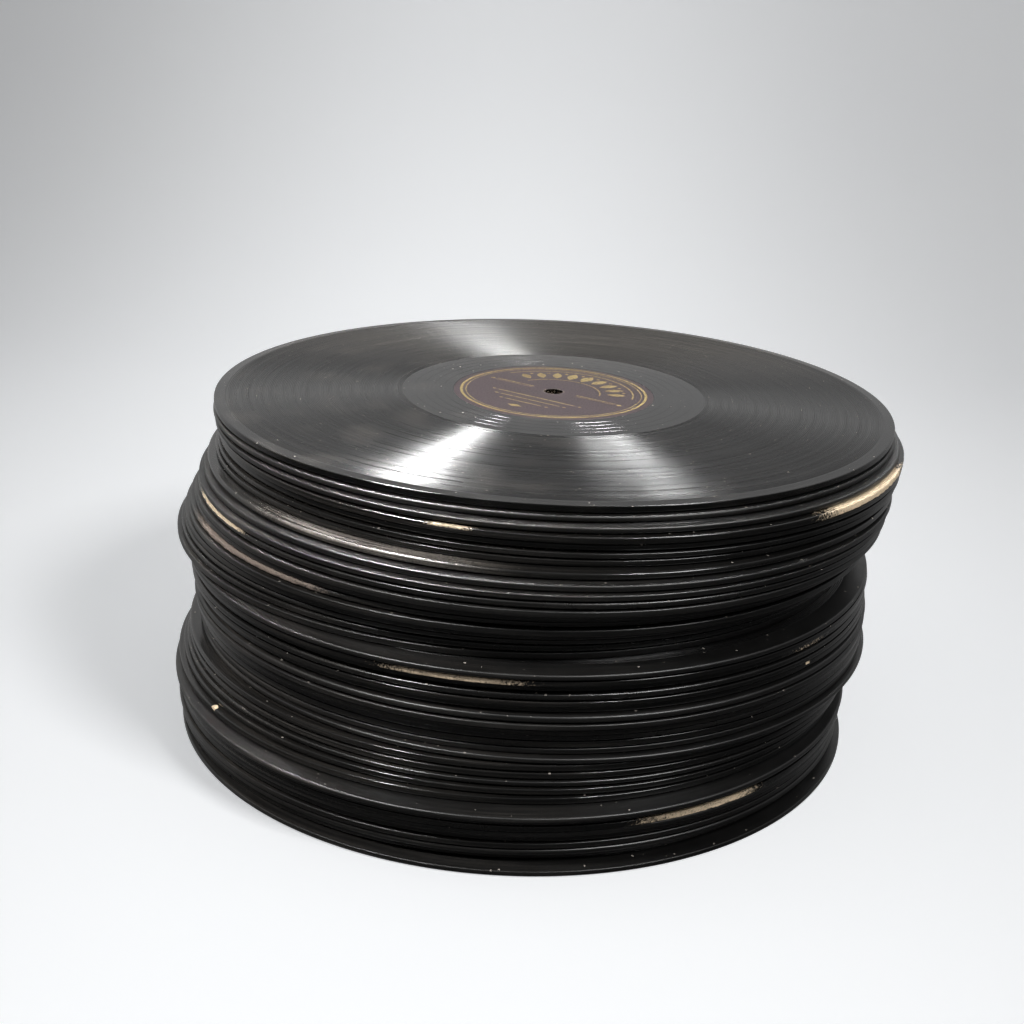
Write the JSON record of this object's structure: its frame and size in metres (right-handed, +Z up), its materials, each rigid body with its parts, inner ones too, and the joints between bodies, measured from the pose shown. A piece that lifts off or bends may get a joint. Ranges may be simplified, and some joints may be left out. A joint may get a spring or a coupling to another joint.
{
  "type": "stack of shellac records",
  "caption": "Tall untidy stack of ten-inch shellac gramophone records, each a grooved black disc with a spindle hole and paper labels; every record lifts off the one beneath.",
  "frame": {"origin": "middle of the underside of the lowest record, on the surface the stack stands on", "axes": "+Z up along the spindle holes, +X to the right and +Y to the back as seen in the picture"},
  "size_m": [0.2659, 0.2723, 0.115],
  "materials": {
    "shellac": "satin, finely grooved",
    "paper": "calendered paper with gold ink"
  },
  "bodies": {
    "record_01": {"record_01": "shellac", "label_upper": "paper", "label_lower": "paper"},
    "record_02": {"record_02": "shellac"},
    "record_03": {"record_03": "shellac"},
    "record_04": {"record_04": "shellac"},
    "record_05": {"record_05": "shellac"},
    "record_06": {"record_06": "shellac"},
    "record_07": {"record_07": "shellac"},
    "record_08": {"record_08": "shellac"},
    "record_09": {"record_09": "shellac"},
    "record_10": {"record_10": "shellac"},
    "record_11": {"record_11": "shellac"},
    "record_12": {"record_12": "shellac"},
    "record_13": {"record_13": "shellac"},
    "record_14": {"record_14": "shellac"},
    "record_15": {"record_15": "shellac"},
    "record_16": {"record_16": "shellac"},
    "record_17": {"record_17": "shellac"},
    "record_18": {"record_18": "shellac"},
    "record_19": {"record_19": "shellac"},
    "record_20": {"record_20": "shellac"},
    "record_21": {"record_21": "shellac"},
    "record_22": {"record_22": "shellac"},
    "record_23": {"record_23": "shellac"},
    "record_24": {"record_24": "shellac"},
    "record_25": {"record_25": "shellac"},
    "record_26": {"record_26": "shellac"},
    "record_27": {"record_27": "shellac"},
    "record_28": {"record_28": "shellac"},
    "record_29": {"record_29": "shellac"},
    "record_30": {"record_30": "shellac"},
    "record_31": {"record_31": "shellac"},
    "record_32": {"record_32": "shellac"},
    "record_33": {"record_33": "shellac"},
    "record_34": {"record_34": "shellac"},
    "record_35": {"record_35": "shellac"},
    "record_36": {"record_36": "shellac"},
    "record_37": {"record_37": "shellac"},
    "record_38": {"record_38": "shellac"},
    "record_39": {"record_39": "shellac"},
    "record_40": {"record_40": "shellac"},
    "record_41": {"record_41": "shellac"},
    "record_42": {"record_42": "shellac"},
    "record_43": {"record_43": "shellac"},
    "record_44": {"record_44": "shellac"},
    "record_45": {"record_45": "shellac"},
    "record_46": {"record_46": "shellac"}
  },
  "joints": [
    {"name": "lift_01", "type": "slide", "parent": "record_02", "child": "record_01", "axis": [0, 0, 1], "range_m": [0, 0.012]},
    {"name": "lift_02", "type": "slide", "parent": "record_03", "child": "record_02", "axis": [0, 0, 1], "range_m": [0, 0.012]},
    {"name": "lift_03", "type": "slide", "parent": "record_04", "child": "record_03", "axis": [0, 0, 1], "range_m": [0, 0.012]},
    {"name": "lift_04", "type": "slide", "parent": "record_05", "child": "record_04", "axis": [0, 0, 1], "range_m": [0, 0.012]},
    {"name": "lift_05", "type": "slide", "parent": "record_06", "child": "record_05", "axis": [0, 0, 1], "range_m": [0, 0.012]},
    {"name": "lift_06", "type": "slide", "parent": "record_07", "child": "record_06", "axis": [0, 0, 1], "range_m": [0, 0.012]},
    {"name": "lift_07", "type": "slide", "parent": "record_08", "child": "record_07", "axis": [0, 0, 1], "range_m": [0, 0.012]},
    {"name": "lift_08", "type": "slide", "parent": "record_09", "child": "record_08", "axis": [0, 0, 1], "range_m": [0, 0.012]},
    {"name": "lift_09", "type": "slide", "parent": "record_10", "child": "record_09", "axis": [0, 0, 1], "range_m": [0, 0.012]},
    {"name": "lift_10", "type": "slide", "parent": "record_11", "child": "record_10", "axis": [0, 0, 1], "range_m": [0, 0.012]},
    {"name": "lift_11", "type": "slide", "parent": "record_12", "child": "record_11", "axis": [0, 0, 1], "range_m": [0, 0.012]},
    {"name": "lift_12", "type": "slide", "parent": "record_13", "child": "record_12", "axis": [0, 0, 1], "range_m": [0, 0.012]},
    {"name": "lift_13", "type": "slide", "parent": "record_14", "child": "record_13", "axis": [0, 0, 1], "range_m": [0, 0.012]},
    {"name": "lift_14", "type": "slide", "parent": "record_15", "child": "record_14", "axis": [0, 0, 1], "range_m": [0, 0.012]},
    {"name": "lift_15", "type": "slide", "parent": "record_16", "child": "record_15", "axis": [0, 0, 1], "range_m": [0, 0.012]},
    {"name": "lift_16", "type": "slide", "parent": "record_17", "child": "record_16", "axis": [0, 0, 1], "range_m": [0, 0.012]},
    {"name": "lift_17", "type": "slide", "parent": "record_18", "child": "record_17", "axis": [0, 0, 1], "range_m": [0, 0.012]},
    {"name": "lift_18", "type": "slide", "parent": "record_19", "child": "record_18", "axis": [0, 0, 1], "range_m": [0, 0.012]},
    {"name": "lift_19", "type": "slide", "parent": "record_20", "child": "record_19", "axis": [0, 0, 1], "range_m": [0, 0.012]},
    {"name": "lift_20", "type": "slide", "parent": "record_21", "child": "record_20", "axis": [0, 0, 1], "range_m": [0, 0.012]},
    {"name": "lift_21", "type": "slide", "parent": "record_22", "child": "record_21", "axis": [0, 0, 1], "range_m": [0, 0.012]},
    {"name": "lift_22", "type": "slide", "parent": "record_23", "child": "record_22", "axis": [0, 0, 1], "range_m": [0, 0.012]},
    {"name": "lift_23", "type": "slide", "parent": "record_24", "child": "record_23", "axis": [0, 0, 1], "range_m": [0, 0.012]},
    {"name": "lift_24", "type": "slide", "parent": "record_25", "child": "record_24", "axis": [0, 0, 1], "range_m": [0, 0.012]},
    {"name": "lift_25", "type": "slide", "parent": "record_26", "child": "record_25", "axis": [0, 0, 1], "range_m": [0, 0.012]},
    {"name": "lift_26", "type": "slide", "parent": "record_27", "child": "record_26", "axis": [0, 0, 1], "range_m": [0, 0.012]},
    {"name": "lift_27", "type": "slide", "parent": "record_28", "child": "record_27", "axis": [0, 0, 1], "range_m": [0, 0.012]},
    {"name": "lift_28", "type": "slide", "parent": "record_29", "child": "record_28", "axis": [0, 0, 1], "range_m": [0, 0.012]},
    {"name": "lift_29", "type": "slide", "parent": "record_30", "child": "record_29", "axis": [0, 0, 1], "range_m": [0, 0.012]},
    {"name": "lift_30", "type": "slide", "parent": "record_31", "child": "record_30", "axis": [0, 0, 1], "range_m": [0, 0.012]},
    {"name": "lift_31", "type": "slide", "parent": "record_32", "child": "record_31", "axis": [0, 0, 1], "range_m": [0, 0.012]},
    {"name": "lift_32", "type": "slide", "parent": "record_33", "child": "record_32", "axis": [0, 0, 1], "range_m": [0, 0.012]},
    {"name": "lift_33", "type": "slide", "parent": "record_34", "child": "record_33", "axis": [0, 0, 1], "range_m": [0, 0.012]},
    {"name": "lift_34", "type": "slide", "parent": "record_35", "child": "record_34", "axis": [0, 0, 1], "range_m": [0, 0.012]},
    {"name": "lift_35", "type": "slide", "parent": "record_36", "child": "record_35", "axis": [0, 0, 1], "range_m": [0, 0.012]},
    {"name": "lift_36", "type": "slide", "parent": "record_37", "child": "record_36", "axis": [0, 0, 1], "range_m": [0, 0.012]},
    {"name": "lift_37", "type": "slide", "parent": "record_38", "child": "record_37", "axis": [0, 0, 1], "range_m": [0, 0.012]},
    {"name": "lift_38", "type": "slide", "parent": "record_39", "child": "record_38", "axis": [0, 0, 1], "range_m": [0, 0.012]},
    {"name": "lift_39", "type": "slide", "parent": "record_40", "child": "record_39", "axis": [0, 0, 1], "range_m": [0, 0.012]},
    {"name": "lift_40", "type": "slide", "parent": "record_41", "child": "record_40", "axis": [0, 0, 1], "range_m": [0, 0.012]},
    {"name": "lift_41", "type": "slide", "parent": "record_42", "child": "record_41", "axis": [0, 0, 1], "range_m": [0, 0.012]},
    {"name": "lift_42", "type": "slide", "parent": "record_43", "child": "record_42", "axis": [0, 0, 1], "range_m": [0, 0.012]},
    {"name": "lift_43", "type": "slide", "parent": "record_44", "child": "record_43", "axis": [0, 0, 1], "range_m": [0, 0.012]},
    {"name": "lift_44", "type": "slide", "parent": "record_45", "child": "record_44", "axis": [0, 0, 1], "range_m": [0, 0.012]},
    {"name": "lift_45", "type": "slide", "parent": "record_46", "child": "record_45", "axis": [0, 0, 1], "range_m": [0, 0.012]}
  ]
}
